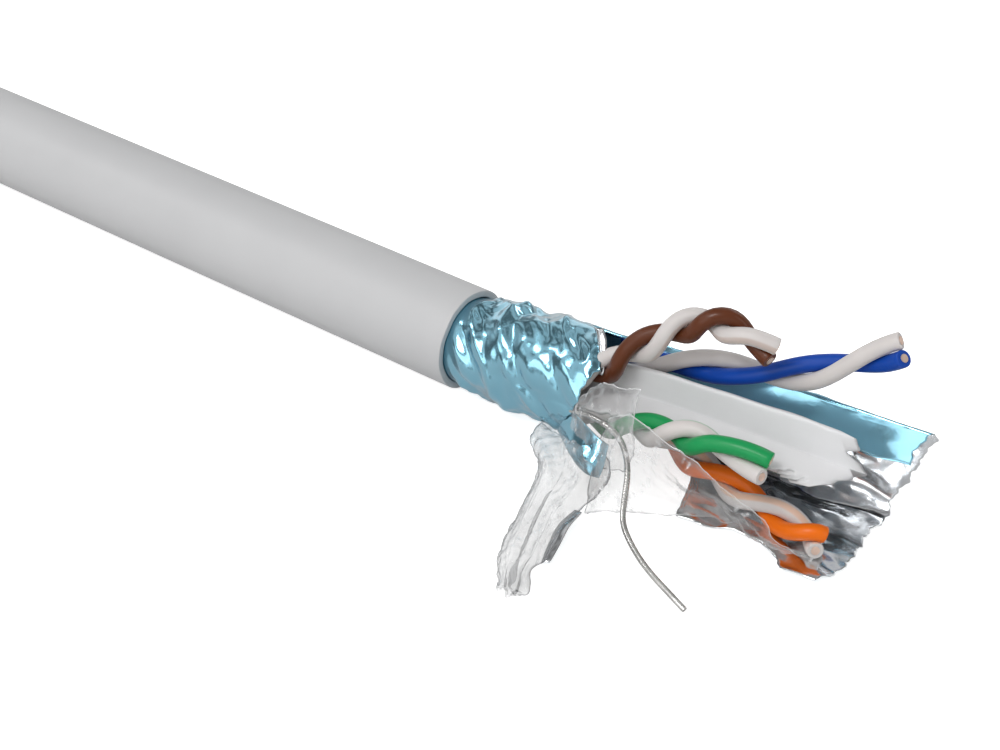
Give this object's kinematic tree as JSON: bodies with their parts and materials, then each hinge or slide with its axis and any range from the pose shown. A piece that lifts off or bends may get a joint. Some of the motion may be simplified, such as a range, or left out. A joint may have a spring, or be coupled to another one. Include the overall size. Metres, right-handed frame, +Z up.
{
  "type": "foil-shielded twisted-pair data cable sample",
  "caption": "Short length of round grey data cable, stripped at one end to show foil shield, clear film, cross separator, twisted pairs and drain wire.",
  "frame": {"origin": "on the table, under the middle of the whole sample's bounding box", "axes": "+X along the cable, out of the jacket's head cut towards the bared pairs; +Z up; -Y is the side that the film leg and the drain wire fall to"},
  "size_m": [0.133, 0.0218, 0.0143],
  "materials": {
    "jacket": "satin grey PVC",
    "foil": "blue polyester face, bare aluminium inside",
    "film": "clear",
    "separator": "milky, translucent",
    "drain": "bright tinned",
    "copper": "bright",
    "white": "satin",
    "brown": "satin",
    "blue": "satin",
    "green": "satin",
    "orange": "satin"
  },
  "bodies": {
    "root": {"outer_jacket": "jacket", "foil_shield": "foil", "clear_film": "film", "cross_separator": "separator", "drain_wire": "drain", "brown_insulation": "brown", "brown_copper": "copper", "white_brown_insulation": "white", "white_brown_copper": "copper", "blue_insulation": "blue", "blue_copper": "copper", "white_blue_insulation": "white", "white_blue_copper": "copper", "green_insulation": "green", "green_copper": "copper", "white_green_insulation": "white", "white_green_copper": "copper", "orange_insulation": "orange", "orange_copper": "copper", "white_orange_insulation": "white", "white_orange_copper": "copper"}
  },
  "joints": []
}
